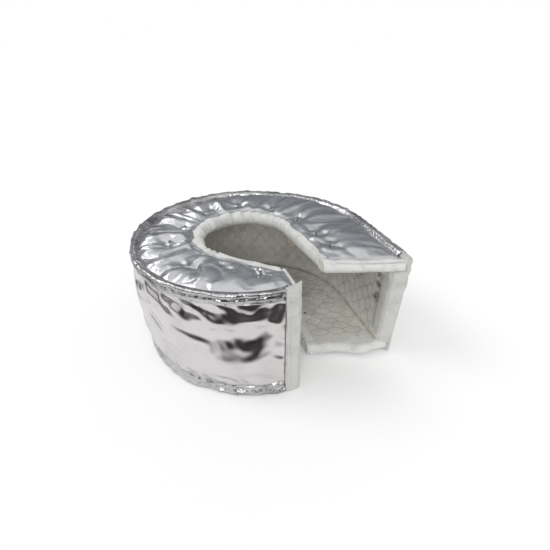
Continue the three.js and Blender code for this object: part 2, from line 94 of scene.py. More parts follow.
def line(start, end):
    share = np.linspace(0, 1, SAMPLES)[:, None]
    return np.array(start) * (1 - share) + np.array(end) * share


def bezier(a, b, c, d):
    """A curve between a and d, sampled at even steps of its length."""
    t = np.linspace(0, 1, 4 * SAMPLES)[:, None]
    a, b, c, d = (np.array(p, float) for p in (a, b, c, d))
    points = a * (1 - t) ** 3 + 3 * b * t * (1 - t) ** 2 + 3 * c * t**2 * (1 - t) + d * t**3
    steps = np.linalg.norm(np.diff(points, axis=0), axis=1)
    run = np.concatenate([[0], np.cumsum(steps)])
    even = np.linspace(0, run[-1], SAMPLES)
    return np.stack([np.interp(even, run, points[:, k]) for k in range(2)], axis=1)


def on_circle(radius, degrees):
    angle = math.radians(degrees)
    return [radius * math.cos(angle), radius * math.sin(angle)]


def outer_runs():
    near_degrees = -math.degrees(math.acos(NEAR_END_REACH / OUTER_RADIUS))
    shoulder = on_circle(OUTER_RADIUS, SHOULDER_DEGREES)
    way = on_circle(SHOULDER_HANDLE, SHOULDER_DEGREES - 90)
    handle = [shoulder[0] + way[0], shoulder[1] + way[1]]
    arm_top = [FAR_ARM_REACH, -FAR_ARM_START]
    return [
        arc(OUTER_RADIUS, near_degrees, NEAR_ARM_DEGREES),
        arc(OUTER_RADIUS, NEAR_ARM_DEGREES, SHOULDER_DEGREES - FULL_TURN),
        bezier(shoulder, handle, [FAR_ARM_REACH, FAR_ARM_HANDLE - FAR_ARM_START], arm_top),
        line(arm_top, [FAR_ARM_REACH - FAR_ARM_TOE_IN, -FAR_ARM_END]),
    ]


def hole_runs(radius, near_end, arm_reach, arm_end):
    return [
        line([NEAR_END_REACH, -near_end], on_circle(radius, NEAR_ARM_DEGREES)),
        arc(radius, NEAR_ARM_DEGREES, SHOULDER_DEGREES - FULL_TURN),
        arc(radius, SHOULDER_DEGREES, 0),
        line([radius, 0], [arm_reach, -arm_end]),
    ]


outside_runs = outer_runs()
run_lengths = [np.linalg.norm(np.diff(run, axis=0), axis=1).sum() for run in outside_runs]
run_starts = np.concatenate([[0], np.cumsum(run_lengths)])
BAND = run_starts[-1]
along_table = np.concatenate(
    [np.linspace(run_starts[k], run_starts[k + 1], SAMPLES) for k in range(len(outside_runs))])
outside_table = np.concatenate(outside_runs)
TOP = np.concatenate(hole_runs(**TOP_HOLE))
BOTTOM = np.concatenate(hole_runs(**BOTTOM_HOLE))
SPACING = BAND / STATIONS
print("band length", round(BAND, 1), "mm")


# %% Places on the blanket
def look_up(table, along):
    inside = np.clip(along, 0, BAND)
    return np.stack([np.interp(inside, along_table, table[:, k]) for k in range(2)], axis=-1)


def width_at(panel, along):
    gap = look_up(panel, along) - look_up(outside_table, along)
    return np.linalg.norm(gap, axis=-1)


def panel_point(panel, along, in_from, height):
    along, in_from, height = np.broadcast_arrays(*(np.asarray(v, float) for v in (along, in_from, height)))
    outside = look_up(outside_table, along)
    inward = look_up(panel, along) - outside
    way = inward / np.linalg.norm(inward, axis=-1, keepdims=True)
    past = np.where(along < 0, along, np.maximum(0, along - BAND))
    flare = NEAR_FLARE * (1 - height / WALL_HEIGHT) * np.exp(-((along / NEAR_FLARE_LENGTH) ** 2))
    across = in_from - flare
    x = outside[..., 0] + way[..., 0] * across - way[..., 1] * past
    y = outside[..., 1] + way[..., 1] * across + way[..., 0] * past
    return np.stack([x, y, height], axis=-1)


def wall_point(along, in_from, height):
    low, high = PANEL_THICKNESS, WALL_HEIGHT - PANEL_THICKNESS
    share = np.clip((np.asarray(height, float) - low) / (high - low), 0, 1)[..., None]
    under = panel_point(BOTTOM, along, in_from, height)
    return under * (1 - share) + panel_point(TOP, along, in_from, height) * share


def hole_centre():
    """The middle of the holes in the row frame, from the wall lining's own box."""
    low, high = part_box("wall_lining")
    reach = (OUTER_RADIUS - WALL_THICKNESS + LINING_THICKNESS) * MM
    return np.array([low.x + reach, high.y - reach, 0])


CENTRE = hole_centre()
print("holes' centre", np.round(CENTRE / MM, 2))


# %% [markdown]
# Crumpled foil has folds at every size. They come from smooth noise: random heights on a coarse
# grid, blended between its points. Taking the noise's distance from zero turns its zero lines into
# sharp ridges, which is how a stiff foil creases.

# %% Noise for folds and creases
LATTICE = 128
RIDGE_SHARPNESS = 2.2


def noise(x, y, seed):
    """Smooth values from -1 to 1, about one bump for each unit of x and of y."""
    values = np.random.default_rng(seed).uniform(-1, 1, (LATTICE, LATTICE))
    x, y = np.broadcast_arrays(np.asarray(x, float), np.asarray(y, float))
    column, row = np.floor(x).astype(int), np.floor(y).astype(int)
    a, b = x - column, y - row
    a, b = a * a * (3 - 2 * a), b * b * (3 - 2 * b)

    def corner(i, j):
        return values[(column + i) % LATTICE, (row + j) % LATTICE]

    low = corner(0, 0) * (1 - a) + corner(1, 0) * a
    high = corner(0, 1) * (1 - a) + corner(1, 1) * a
    return low * (1 - b) + high * b


def ridges(x, y, seed):
    """Sharp ridges from 0 to 1, as of creased foil."""
    return 1 - np.minimum(1, RIDGE_SHARPNESS * np.abs(noise(x, y, seed)))


def smooth(value):
    share = np.clip(value, 0, 1)
    return share * share * (3 - 2 * share)


def bump(x, middle, half_width):
    return np.exp(-(((x - middle) / half_width) ** 2))


# %% [markdown]
# Every sheet of cloth starts as a flat grid, whose points are then laid on the blanket. The grid
# keeps a UV map in millimetres of cloth, so a weave has its true scale. A thin Solidify at the end
# gives the cloth its thickness.

# %% Helpers that lay a grid of cloth on the blanket
def select_only(piece):
    bpy.ops.object.select_all(action="DESELECT")
    piece.select_set(True)
    bpy.context.view_layer.objects.active = piece


def points_of(piece):
    co = np.zeros(len(piece.data.vertices) * 3)
    piece.data.vertices.foreach_get("co", co)
    return co.reshape(-1, 3)


def set_points(piece, co):
    piece.data.vertices.foreach_set("co", np.asarray(co, float).ravel())
    piece.data.update()


def normals_of(piece):
    normals = np.zeros(len(piece.data.vertices) * 3)
    piece.data.vertices.foreach_get("normal", normals)
    return normals.reshape(-1, 3)


def to_row(points):
    return points * MM + CENTRE


def apply_modifier(piece, kind, **settings):
    select_only(piece)
    modifier = piece.modifiers.new(kind.lower(), kind)
    for key, value in settings.items():
        setattr(modifier, key, value)
    bpy.ops.object.modifier_apply(modifier=modifier.name)


def flip(piece):
    select_only(piece)
    bpy.ops.object.mode_set(mode="EDIT")
    bpy.ops.mesh.select_all(action="SELECT")
    bpy.ops.mesh.flip_normals()
    bpy.ops.object.mode_set(mode="OBJECT")


def lay_grid(name, columns, rows, place, toward):
    """A grid of cloth laid by place(u, v), with its faces looking the way of toward(points)."""
    bpy.ops.object.select_all(action="DESELECT")
    bpy.ops.mesh.primitive_grid_add(x_subdivisions=columns, y_subdivisions=rows, size=1)
    piece = bpy.context.object
    piece.name = name
    piece.data.name = name
    flat = points_of(piece)
    u, v = flat[:, 0] + 0.5, flat[:, 1] + 0.5
    laid = place(u, v)
    set_points(piece, to_row(laid))
    order = np.lexsort((np.round(v * rows), np.round(u * columns)))
    net = laid[order].reshape(columns + 1, rows + 1, 3)
    length = np.linalg.norm(np.diff(net, axis=0), axis=2).sum(0).max()
    width = np.linalg.norm(np.diff(net, axis=1), axis=2).sum(1).max()
    piece["cloth"] = [float(width * MM), float(length * MM)]
    uv = piece.data.uv_layers.active.data
    for corner in uv:
        corner.uv = (corner.uv[0] * length, corner.uv[1] * width)
    middle = points_of(piece)
    facing = (normals_of(piece) * toward(middle)).sum(1).mean()
    if facing < 0:
        flip(piece)
    for polygon in piece.data.polygons:
        polygon.use_smooth = True
    return piece


def face_out(piece):
    """Turn a folded tape's faces away from its own middle."""
    places = points_of(piece)
    facing = (normals_of(piece) * (places - places.mean(0))).sum()
    if facing < 0:
        flip(piece)


def outward(points):
    """Away from the holes' middle, seen from above."""
    way = points - CENTRE
    way[:, 2] = 0
    return way


def inward(points):
    return -outward(points)


def upward(points):
    return np.tile([0.0, 0.0, 1.0], (len(points), 1))


def downward(points):
    return -upward(points)


def finish_sheet(piece, node, material, thickness_mm):
    """Give the cloth its thickness and material, hang it under the root body and hide the part's node."""
    apply_modifier(piece, "SOLIDIFY", thickness=thickness_mm * MM, offset=-1, use_rim=True)
    piece.data.materials.clear()
    piece.data.materials.append(material)
    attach(piece, "root")
    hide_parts(node)
    print(piece.name, len(piece.data.polygons), "faces")
    return piece


# %% [markdown]
# The finishes. Each cloth is a Principled shader with a woven bump. The weave and the creases are
# node groups, so the foil, the tape and the lining share them with values of their own. The soiling
# is mixed in each cloth's own material.

# %% Node helpers
def new_group(name, inputs, outputs):
    """An empty shader node group with number inputs and named outputs."""
    group = bpy.data.node_groups.new(name, "ShaderNodeTree")
    for label, kind, value in inputs:
        socket = group.interface.new_socket(label, in_out="INPUT", socket_type=kind)
        if value is not None:
            socket.default_value = value
    for label, kind in outputs:
        group.interface.new_socket(label, in_out="OUTPUT", socket_type=kind)
    return group, group.nodes.new("NodeGroupInput"), group.nodes.new("NodeGroupOutput")


def feed(tree, socket, value):
    """Link a socket to another socket, or set it to a value."""
    if isinstance(value, bpy.types.NodeSocket):
        tree.links.new(value, socket)
    elif value is not None:
        socket.default_value = value


def maths(tree, operation, a, b=None):
    node = tree.nodes.new("ShaderNodeMath")
    node.operation = operation
    feed(tree, node.inputs[0], a)
    feed(tree, node.inputs[1], b)
    return node.outputs[0]


def noise_node(tree, vector, scale, detail=2.0, roughness=0.5, distortion=0.0):
    node = tree.nodes.new("ShaderNodeTexNoise")
    feed(tree, node.inputs["Vector"], vector)
    feed(tree, node.inputs["Scale"], scale)
    node.inputs["Detail"].default_value = detail
    node.inputs["Roughness"].default_value = roughness
    node.inputs["Distortion"].default_value = distortion
    return node.outputs["Fac"]


def ramp(tree, value, low, high, to_low=0.0, to_high=1.0):
    node = tree.nodes.new("ShaderNodeMapRange")
    node.interpolation_type = "SMOOTHSTEP"
    feed(tree, node.inputs["Value"], value)
    for label, number in zip(("From Min", "From Max", "To Min", "To Max"), (low, high, to_low, to_high)):
        node.inputs[label].default_value = number
    return node.outputs["Result"]


def mix_colour(tree, factor, a, b):
    node = tree.nodes.new("ShaderNodeMix")
    node.data_type = "RGBA"
    feed(tree, node.inputs["Factor"], factor)
    feed(tree, node.inputs[6], a)
    feed(tree, node.inputs[7], b)
    return node.outputs[2]


def make_bump(tree, height, strength, distance, normal=None):
    node = tree.nodes.new("ShaderNodeBump")
    node.inputs["Strength"].default_value = strength
    node.inputs["Distance"].default_value = distance
    feed(tree, node.inputs["Height"], height)
    feed(tree, node.inputs["Normal"], normal)
    return node.outputs["Normal"]


# %% The weave: threads over and under, one bump for each crossing
def weave_group():
    inputs = [("Threads per mm", "NodeSocketFloat", 1.0), ("Unevenness", "NodeSocketFloat", 0.3)]
    group, into, out = new_group("cloth_weave", inputs, [("Height", "NodeSocketFloat")])
    uv = group.nodes.new("ShaderNodeUVMap").outputs["UV"]
    apart = group.nodes.new("ShaderNodeSeparateXYZ")
    group.links.new(uv, apart.inputs[0])
    turn = maths(group, "MULTIPLY", into.outputs["Threads per mm"], math.pi)
    wobble = noise_node(group, uv, 0.12, 3.0)
    wobble = maths(group, "MULTIPLY", wobble, into.outputs["Unevenness"])
    waves = []
    for axis in ("X", "Y"):
        moved = maths(group, "ADD", apart.outputs[axis], wobble)
        angle = maths(group, "MULTIPLY", moved, turn)
        waves.append(maths(group, "SINE", angle))
    crossing = maths(group, "MULTIPLY", waves[0], waves[1])
    half = maths(group, "MULTIPLY", crossing, 0.5)
    group.links.new(maths(group, "ADD", half, 0.5), out.inputs["Height"])
    return group


def crinkle_group():
    inputs = [("Scale", "NodeSocketFloat", 60.0)]
    group, into, out = new_group("foil_crinkle", inputs, [("Height", "NodeSocketFloat")])
    place = group.nodes.new("ShaderNodeTexCoord").outputs["Object"]
    broad = noise_node(group, place, into.outputs["Scale"], 4.0, 0.55, 0.6)
    cells = group.nodes.new("ShaderNodeTexVoronoi")
    cells.feature = "DISTANCE_TO_EDGE"
    group.links.new(place, cells.inputs["Vector"])
    finer = maths(group, "MULTIPLY", into.outputs["Scale"], 1.7)
    group.links.new(finer, cells.inputs["Scale"])
    edge = ramp(group, cells.outputs["Distance"], 0.0, 0.25)
    edge = maths(group, "MULTIPLY", edge, 0.35)
    group.links.new(maths(group, "ADD", broad, edge), out.inputs["Height"])
    return group


def use_group(tree, group, **values):
    node = tree.nodes.new("ShaderNodeGroup")
    node.node_tree = group
    for label, value in values.items():
        feed(tree, node.inputs[label.replace("_", " ")], value)
    return node.outputs[0]


WEAVE = weave_group()
CRINKLE = crinkle_group()


def new_material(name, colour, roughness, metallic=0.0):
    material = bpy.data.materials.new(name)
    material.use_nodes = True
    shader = material.node_tree.nodes["Principled BSDF"]
    shader.inputs["Base Color"].default_value = (*colour, 1)
    shader.inputs["Roughness"].default_value = roughness
    shader.inputs["Metallic"].default_value = metallic
    return material, material.node_tree, shader


# %% Aluminised cloth
def foil_material(name, colour, dark_tone_and_shade, roughness, weave, crinkle, scale):
    material, tree, shader = new_material(name, colour, roughness, 1.0)
    place = tree.nodes.new("ShaderNodeTexCoord").outputs["Object"]
    clouds = noise_node(tree, place, 55.0, 4.0, 0.6)
    # The darker cloud tone varies the foil at random. In the seam foil it goes much darker, and that is
    # painted shade.
    tint = mix_colour(tree, ramp(tree, clouds, 0.42, 0.7), (*colour, 1), (*dark_tone_and_shade, 1))
    tree.links.new(tint, shader.inputs["Base Color"])
    smears = noise_node(tree, place, 140.0, 3.0)
    rough = ramp(tree, smears, 0.35, 0.7, roughness * 0.75, roughness * 1.35)
    tree.links.new(rough, shader.inputs["Roughness"])
    threads = use_group(tree, WEAVE, Threads_per_mm=1.15, Unevenness=0.5)
    folds = use_group(tree, CRINKLE, Scale=scale)
    coarse = make_bump(tree, folds, crinkle, 0.0016)
    tree.links.new(make_bump(tree, threads, weave, 0.00012, coarse), shader.inputs["Normal"])
    return material


wall_foil = foil_material(
    "wall_foil", (0.78, 0.755, 0.76), (0.70, 0.675, 0.68), 0.14, 0.55, 0.06, 45.0)
top_foil = foil_material(
    "top_foil", (0.80, 0.805, 0.82), (0.72, 0.725, 0.74), 0.17, 0.4, 0.08, 55.0)
# The seam foil is a darker copy of the same foil, with much darker cloudy patches: painted shade on the
# crumpled seams and on the foil patches.
seam_foil = foil_material(
    "seam_foil", (0.66, 0.66, 0.66), (0.34, 0.34, 0.34), 0.2, 0.4, 0.3, 150.0)


# %% Lining, tape, mat, thread and wire
def cloth_material(name, colour, dark, threads_per_mm, weave, bump_mm, cloud_scale):
    material, tree, shader = new_material(name, colour, 0.9)
    place = tree.nodes.new("ShaderNodeTexCoord").outputs["Object"]
    clouds = noise_node(tree, place, cloud_scale, 5.0, 0.6)
    fibres = noise_node(tree, place, 1500.0, 2.0)
    soiling = ramp(tree, clouds, 0.4, 0.75, 0.0, 0.7)
    speckle = ramp(tree, fibres, 0.45, 0.7, 0.0, 0.3)
    amount = maths(tree, "ADD", soiling, speckle)
    tint = mix_colour(tree, amount, (*colour, 1), (*dark, 1))
    tree.links.new(tint, shader.inputs["Base Color"])
    threads = use_group(tree, WEAVE, Threads_per_mm=threads_per_mm, Unevenness=0.6)
    soft = make_bump(tree, clouds, 0.25, 0.0015)
    fine = make_bump(tree, threads, weave, bump_mm * MM, soft)
    tree.links.new(make_bump(tree, fibres, 0.25, 0.0002, fine), shader.inputs["Normal"])
    shader.inputs["Sheen Weight"].default_value = 0.25
    shader.inputs["Sheen Roughness"].default_value = 0.5
    return material


lining_cloth = cloth_material(
    "lining_cloth", (0.6, 0.585, 0.535), (0.42, 0.405, 0.365), 1.4, 0.5, 0.15, 60.0)
tape_cloth = cloth_material(
    "tape_cloth", (0.69, 0.70, 0.68), (0.48, 0.485, 0.47), 1.8, 0.7, 0.2, 120.0)
# The upright tapes take a darker copy of the same tape cloth: the darker colour is painted shade.
shaded_tape = cloth_material(
    "shaded_tape", (0.56, 0.56, 0.535), (0.38, 0.38, 0.36), 1.8, 0.7, 0.2, 90.0)
mat_fibre = cloth_material(
    "mat_fibre", (0.72, 0.68, 0.58), (0.55, 0.5, 0.42), 0.6, 0.3, 0.3, 300.0)


def plain_material(name, colour, roughness, metallic, scale):
    material, tree, shader = new_material(name, colour, roughness, metallic)
    place = tree.nodes.new("ShaderNodeTexCoord").outputs["Object"]
    clouds = noise_node(tree, place, scale, 4.0)
    darker = tuple(channel * 0.6 for channel in colour)
    tint = mix_colour(tree, ramp(tree, clouds, 0.4, 0.7), (*colour, 1), (*darker, 1))
    tree.links.new(tint, shader.inputs["Base Color"])
    tree.links.new(make_bump(tree, clouds, 0.4, 0.0002), shader.inputs["Normal"])
    return material


thread_steel = plain_material("thread_steel", (0.3, 0.3, 0.31), 0.35, 0.8, 2500.0)
mesh_wire = plain_material("mesh_wire", (0.36, 0.35, 0.32), 0.5, 0.4, 900.0)
stitch_thread = plain_material("stitch_thread", (0.72, 0.72, 0.70), 0.8, 0.0, 2500.0)
print("materials", len(bpy.data.materials))

# %% [markdown]
# The covers are held at their seams, tapes and tacks, and are slack between them. Their broad
# shape is a formula: a soft crown, folds that run from the hole to the outer seam, and a deep
# pucker at each tack. Cloth simulation then lets the slack buckle as real cloth does.

# %% Simulation of slack cloth
CLOTH_FRAMES = 16
CLOTH_SETTINGS = {
    "quality": 6,
    "mass": 0.15,
    "tension_stiffness": 12,
    "compression_stiffness": 12,
    "shear_stiffness": 6,
    "bending_stiffness": 0.2,
    "pin_stiffness": 5,
    "air_damping": 4,
    "use_pressure": True,
}
NO_MOVE = 1e-9


def slacken(piece, hold, slack, pressure, most_mm):
    """Let the cloth grow by a share of its size and buckle, held where hold is near 1."""
    start = points_of(piece)
    group = piece.vertex_groups.new(name="held")
    for index, weight in enumerate(hold):
        group.add([index], float(weight), "REPLACE")
    select_only(piece)
    cloth = piece.modifiers.new("cloth", "CLOTH")
    settings = cloth.settings
    for key, value in CLOTH_SETTINGS.items():
        setattr(settings, key, value)
    settings.shrink_min = -slack
    settings.shrink_max = -slack
    settings.uniform_pressure_force = pressure
    settings.vertex_group_mass = group.name
    settings.effector_weights.gravity = 0
    cloth.collision_settings.use_collision = False
    scene = bpy.context.scene
    for frame_number in range(1, CLOTH_FRAMES + 1):
        scene.frame_set(frame_number)
    bpy.ops.object.modifier_apply(modifier=cloth.name)
    scene.frame_set(1)
    moved = points_of(piece) - start
    far = np.linalg.norm(moved, axis=1, keepdims=True)
    cap = most_mm * MM
    moved *= np.minimum(1, cap / np.maximum(far, NO_MOVE))
    set_points(piece, start + moved)
    print(piece.name, "moved up to", round(float(far.max()) / MM, 2), "mm")


# %% Heights of the top cover
SEAM_INSET = 4
RIM_INSET = 1
OPENING_TAPE = 8
END_TAPE = 10
RIM_DROP = 2.6
RIM_ROUNDING = 12
TOP_CROWN = 2.0
WALL_CROWN = 2.4
CROWN_POWER = 0.6
TOP_FOLD = 1.1
TOP_FOLD_LENGTH = 24
TUFT_DEPTH = 4.2
TUFT_RADIUS = 6.5
STAR_REACH = 15
# The arcs near the hole are shorter than on the outline, by about this much.
NEAR_HOLE_SHARE = 0.72


def end_share(along, reach):
    """0 at both ends of the band, 1 from reach millimetres in."""
    return smooth(along / reach) * smooth((BAND - along) / reach)


def clear_of_ends(along, tape):
    """0 at both ends of the band and under their tapes, 1 from two tapes in."""
    return smooth((along - tape) / tape) * smooth((BAND - along - tape) / tape)


def crown_shape(share):
    return np.sin(np.pi * np.clip(share, 0, 1)) ** CROWN_POWER


def tufts(panel, tacks, along, in_from, depth):
    """Puckers round the tacks: a pit, with creases that run out from it like a star."""
    height = np.zeros_like(along)
    width = width_at(panel, along)
    for order, (station, inset) in enumerate(tacks):
        middle = station * SPACING
        dx, dy = (along - middle) * NEAR_HOLE_SHARE, width - in_from - inset
        away = np.hypot(dx, dy)
        angle = np.arctan2(dy, dx)
        pit = depth * np.exp(-((away / TUFT_RADIUS) ** 1.3))
        star = np.sin(3 * angle + order) + 0.7 * np.sin(5 * angle + 2 * order)
        reach = np.exp(-((away / STAR_REACH) ** 2)) * (1 - np.exp(-((away / 4) ** 2)))
        height += -pit + 0.75 * star * reach
    return height


def from_rim(along, in_from, width):
    """How far a place on a panel is from the panel's nearest edge."""
    return np.minimum(np.minimum(width - in_from, in_from), np.minimum(along, BAND - along))


def top_pillow(along, in_from, width):
    """The part's own top: a soft crown inside a rounded rim."""
    free = (in_from - SEAM_INSET) / (width - OPENING_TAPE - SEAM_INSET)
    crown = TOP_CROWN * crown_shape(free) * clear_of_ends(along, END_TAPE)
    rim = RIM_DROP * (1 - smooth(from_rim(along, in_from, width) / RIM_ROUNDING))
    return WALL_HEIGHT - rim + crown


def top_height(along, in_from):
    width = width_at(TOP, along)
    held = smooth((width - in_from - OPENING_TAPE) / 7) * smooth((in_from - SEAM_INSET) / 6)
    held = held * end_share(along - 7, 9)
    wave = np.sin(2 * np.pi * along / TOP_FOLD_LENGTH + 0.05 * in_from)
    wave += 0.5 * np.sin(2 * np.pi * along / (TOP_FOLD_LENGTH * 2.3) + 1)
    # The folds are strongest on the left, where the panel is pulled tight.
    left = smooth((along - 70) / 40) * (1 - smooth((along - 290) / 60))
    across = (in_from - width / 2) / width
    creases = ridges((along + 9 * across) / 13, in_from / 90, 3) - 0.4
    finer = ridges((along - 6 * across) / 6.5, in_from / 40, 4) - 0.4
    broad = noise(along / 26, in_from / 30, 5)
    folds = left * (2.3 * creases + 0.6 * finer) + (1 - left) * (0.4 * creases + 1.1 * broad)
    gathers = noise(along / 5, in_from / 14, 7) * bump(in_from, SEAM_INSET + 2, 6)
    puckers = noise(along / 6, in_from / 12, 9) * bump(width - in_from, OPENING_TAPE + 1, 5)
    shape = (0.3 + 0.5 * left) * TOP_FOLD * wave + folds + 0.5 * gathers + 0.5 * puckers
    return top_pillow(along, in_from, width) + held * shape


# The part's mat dips at each tack, and lies under the cover with some room.
DIP_RADIUS = 8
DIP_DEPTH = 2.5
MAT_ROOM = 1.65
COVER_DEPTH = 1.1


def top_mat(along, in_from):
    """The top of the part's own mat, which the cover must stay above."""
    width = width_at(TOP, along)
    clear = smooth((width - in_from - OPENING_TAPE) / 7)
    dip = np.zeros_like(along)
    for station, inset in TOP_TACKS:
        away = np.hypot(along - station * SPACING, width - in_from - inset)
        dip = np.maximum(dip, np.exp(-((away / DIP_RADIUS) ** 2)))
    room = MAT_ROOM * clear * smooth(np.minimum(along, BAND - along) / END_TAPE)
    return top_pillow(along, in_from, width) - DIP_DEPTH * dip * clear - room - COVER_DEPTH


# %% The top cover
MAT_CLEARANCE = 0.55
KNOT_ABOVE_MAT = 4.7
NUB_RADIUS = 3.0
NUB_SHARE = 0.8
HELD_AT_TACK = 3.2


def top_place(u, v):
    along = u * BAND
    width = width_at(TOP, along)
    in_from = SEAM_INSET + v * (width - SEAM_INSET - RIM_INSET)
    height = top_height(along, in_from) + tufts(TOP, TOP_TACKS, along, in_from, TUFT_DEPTH)
    mat = top_mat(along, in_from)
    height = np.maximum(height, mat + MAT_CLEARANCE)
    for station, inset in TOP_TACKS:
        # In the middle of its pit the cloth comes up to the knot.
        away = np.hypot((along - station * SPACING) * NUB_SHARE, width - in_from - inset)
        share = np.exp(-((away / NUB_RADIUS) ** 2))
        height = height * (1 - share) + (mat + KNOT_ABOVE_MAT) * share
    return panel_point(TOP, along, in_from, height)


def grid_places(count, columns, rows, panel):
    """Where a grid's points are. They run along the band first, then across it."""
    index = np.arange(count)
    along = (index % (columns + 1)) / columns * BAND
    across = (index // (columns + 1)) / rows
    return along, SEAM_INSET + across * (width_at(panel, along) - SEAM_INSET - RIM_INSET)


def hold_panel(count, columns, rows, panel, tacks):
    """Weights that pin a panel's cloth at its seam, tapes and tacks."""
    hold = np.zeros(count)
    along, in_from = grid_places(count, columns, rows, panel)
    width = width_at(panel, along)
    hold[in_from < SEAM_INSET + 2.5] = 1
    hold[width - in_from < OPENING_TAPE] = 1
    hold[(along < END_TAPE) | (along > BAND - END_TAPE)] = 1
    for station, inset in tacks:
        hold[np.hypot(along - station * SPACING, width - in_from - inset) < HELD_AT_TACK] = 1
    return hold


TOP_COLUMNS = 260
TOP_ROWS = 28
COVER_THICKNESS = 0.35
top_cover = lay_grid("top_cover_foil", TOP_COLUMNS, TOP_ROWS, top_place, upward)
top_count = len(top_cover.data.vertices)
top_hold = hold_panel(top_count, TOP_COLUMNS, TOP_ROWS, TOP, TOP_TACKS)
slacken(top_cover, top_hold, slack=0.012, pressure=0.2, most_mm=1.2)
under = top_mat(*grid_places(top_count, TOP_COLUMNS, TOP_ROWS, TOP)) + MAT_CLEARANCE
kept_up = points_of(top_cover)
kept_up[:, 2] = np.maximum(kept_up[:, 2], under * MM)
set_points(top_cover, kept_up)
apply_modifier(top_cover, "SUBSURF", levels=1, render_levels=1)
finish_sheet(top_cover, "top_cover", top_foil, COVER_THICKNESS)

# %% [markdown]
# The band is one long strip. Its folds hang down from the top seam, a few broad dents lie where
# hands have pressed it, and it is gathered a little into both seams. A dent here is a fold that
# goes in above and comes out below, so its lower half looks up and mirrors the room.

# %% The band's cover
COVER_LOW = 9
COVER_HIGH = 89
DENT_FADE = 0.15
WALL_FOLD = 1.3
WALL_FOLD_LENGTH = 46
CROWN_START = 16.5
# The part's own broad dents. Each has how far along it is, its level as a share of the height,
# half its length and height, its slant and its depth.
BROAD_DENTS = [
    (36, 0.86, 26, 7, 0.15, 3.4),
    (46, 0.52, 25, 14, 0.12, 5.2),
    (124, 0.88, 12, 6, 0.2, 3.0),
    (186, 0.6, 26, 12, 0.3, 3.6),
    (256, 0.42, 30, 13, -0.2, 3.8),
    (330, 0.66, 26, 11, 0.25, 3.6),
    (404, 0.42, 28, 12, 0.2, 3.8),
    (478, 0.6, 24, 12, -0.25, 3.6),
]
# Smaller ones, seen in the photo's near half.
SMALL_DENTS = [
    (12, 0.84, 8, 8, 0.1, 2.6),
    (80, 0.62, 12, 2.6, -0.3, 1.1),
    (15, 0.4, 5, 3, -0.6, 1.0),
    (92, 0.84, 15, 2.6, -0.42, 1.3),
    (70, 0.86, 13, 2.4, -0.5, 1.2),
    (112, 0.88, 9, 2.8, -0.5, 1.3),
    (54, 0.92, 7, 2.4, -0.5, 1.0),
    (26, 0.28, 5, 2.4, -0.8, 0.9),
    (58, 0.18, 8, 2.6, -0.3, 0.9),
    (140, 0.72, 9, 3.0, -0.4, 1.0),
    (112, 0.56, 12, 3.0, -0.4, 0.9),
    (98, 0.34, 14, 4.0, -0.2, 1.0),
    (150, 0.4, 12, 5.0, -0.3, 1.2),
]


def wall_dents(dents, along, height):
    """Above its middle a dent goes in, and below it the cover comes out again."""
    depth_in = np.zeros_like(along)
    for middle, level, half_length, half_height, slant, depth in dents:
        away = along - middle
        rise = (height - level * WALL_HEIGHT + slant * away) / half_height
        depth_in += depth * rise * np.exp(-0.5 * rise**2 - 0.5 * (away / half_length) ** 4)
    return depth_in


def wall_out(along, height):
    """How far the band's cover stands out from the outline, in millimetres."""
    share = (height - COVER_LOW) / (COVER_HIGH - COVER_LOW)
    fade = smooth(share / DENT_FADE) * smooth((1 - share) / DENT_FADE)
    # The outlines of the dents are ragged, so they aren't clean ovals.
    ragged = 2.2 * noise(along / 9, height / 9, 27) + 1.2 * noise(along / 4, height / 5, 28)
    dents = wall_dents(BROAD_DENTS, along + ragged, height + ragged) * fade
    crown = WALL_CROWN * crown_shape(share)
    out = (crown - dents) * clear_of_ends(along, CROWN_START)
    slack = WALL_FOLD * np.sin(np.pi * share) * np.sin(2 * np.pi * along / WALL_FOLD_LENGTH + 2.2 * share)
    small = wall_dents(SMALL_DENTS, along, height + 0.5 * ragged)
    hanging = ridges((height - 0.45 * along) / 9, (along + 0.45 * height) / 60, 21) - 0.4
    broad = noise(along / 30, height / 34, 23)
    gathers = noise(along / 4.6, height / 14, 25)
    near_seams = bump(height, COVER_HIGH, 9) + bump(height, COVER_LOW, 9)
    upper = smooth((share - 0.45) / 0.4)
    left = smooth((along - 70) / 30)
    loose = 0.5 * slack - 1.5 * small + (0.7 + 0.8 * left) * hanging * upper
    loose = loose + (0.4 + 0.5 * left) * broad + 0.8 * gathers * near_seams
    edge = smooth(share / 0.05) * smooth((1 - share) / 0.05) * end_share(along - 9, 7)
    return out + loose * edge


def wall_place(u, v):
    along = u * BAND
    height = COVER_LOW + v * (COVER_HIGH - COVER_LOW)
    return wall_point(along, -wall_out(along, height), height)


WALL_COLUMNS = 240
WALL_ROWS = 36
wall_cover = lay_grid("wall_cover_foil", WALL_COLUMNS, WALL_ROWS, wall_place, outward)


def hold_wall():
    index = np.arange(len(wall_cover.data.vertices))
    along = (index % (WALL_COLUMNS + 1)) / WALL_COLUMNS * BAND
    share = (index // (WALL_COLUMNS + 1)) / WALL_ROWS
    edge = (share < 0.04) | (share > 0.96) | (along < END_TAPE) | (along > BAND - END_TAPE)
    return np.where(edge, 1.0, 0.0)


slacken(wall_cover, hold_wall(), slack=0.012, pressure=0.1, most_mm=0.8)
apply_modifier(wall_cover, "SUBSURF", levels=1, render_levels=1)
finish_sheet(wall_cover, "wall_cover", wall_foil, COVER_THICKNESS)


# %% The cover under the bottom panel
BOTTOM_COLUMNS = 220
BOTTOM_ROWS = 22
BOTTOM_RISE = 2.6
FLOOR_CLEARANCE = 0.05


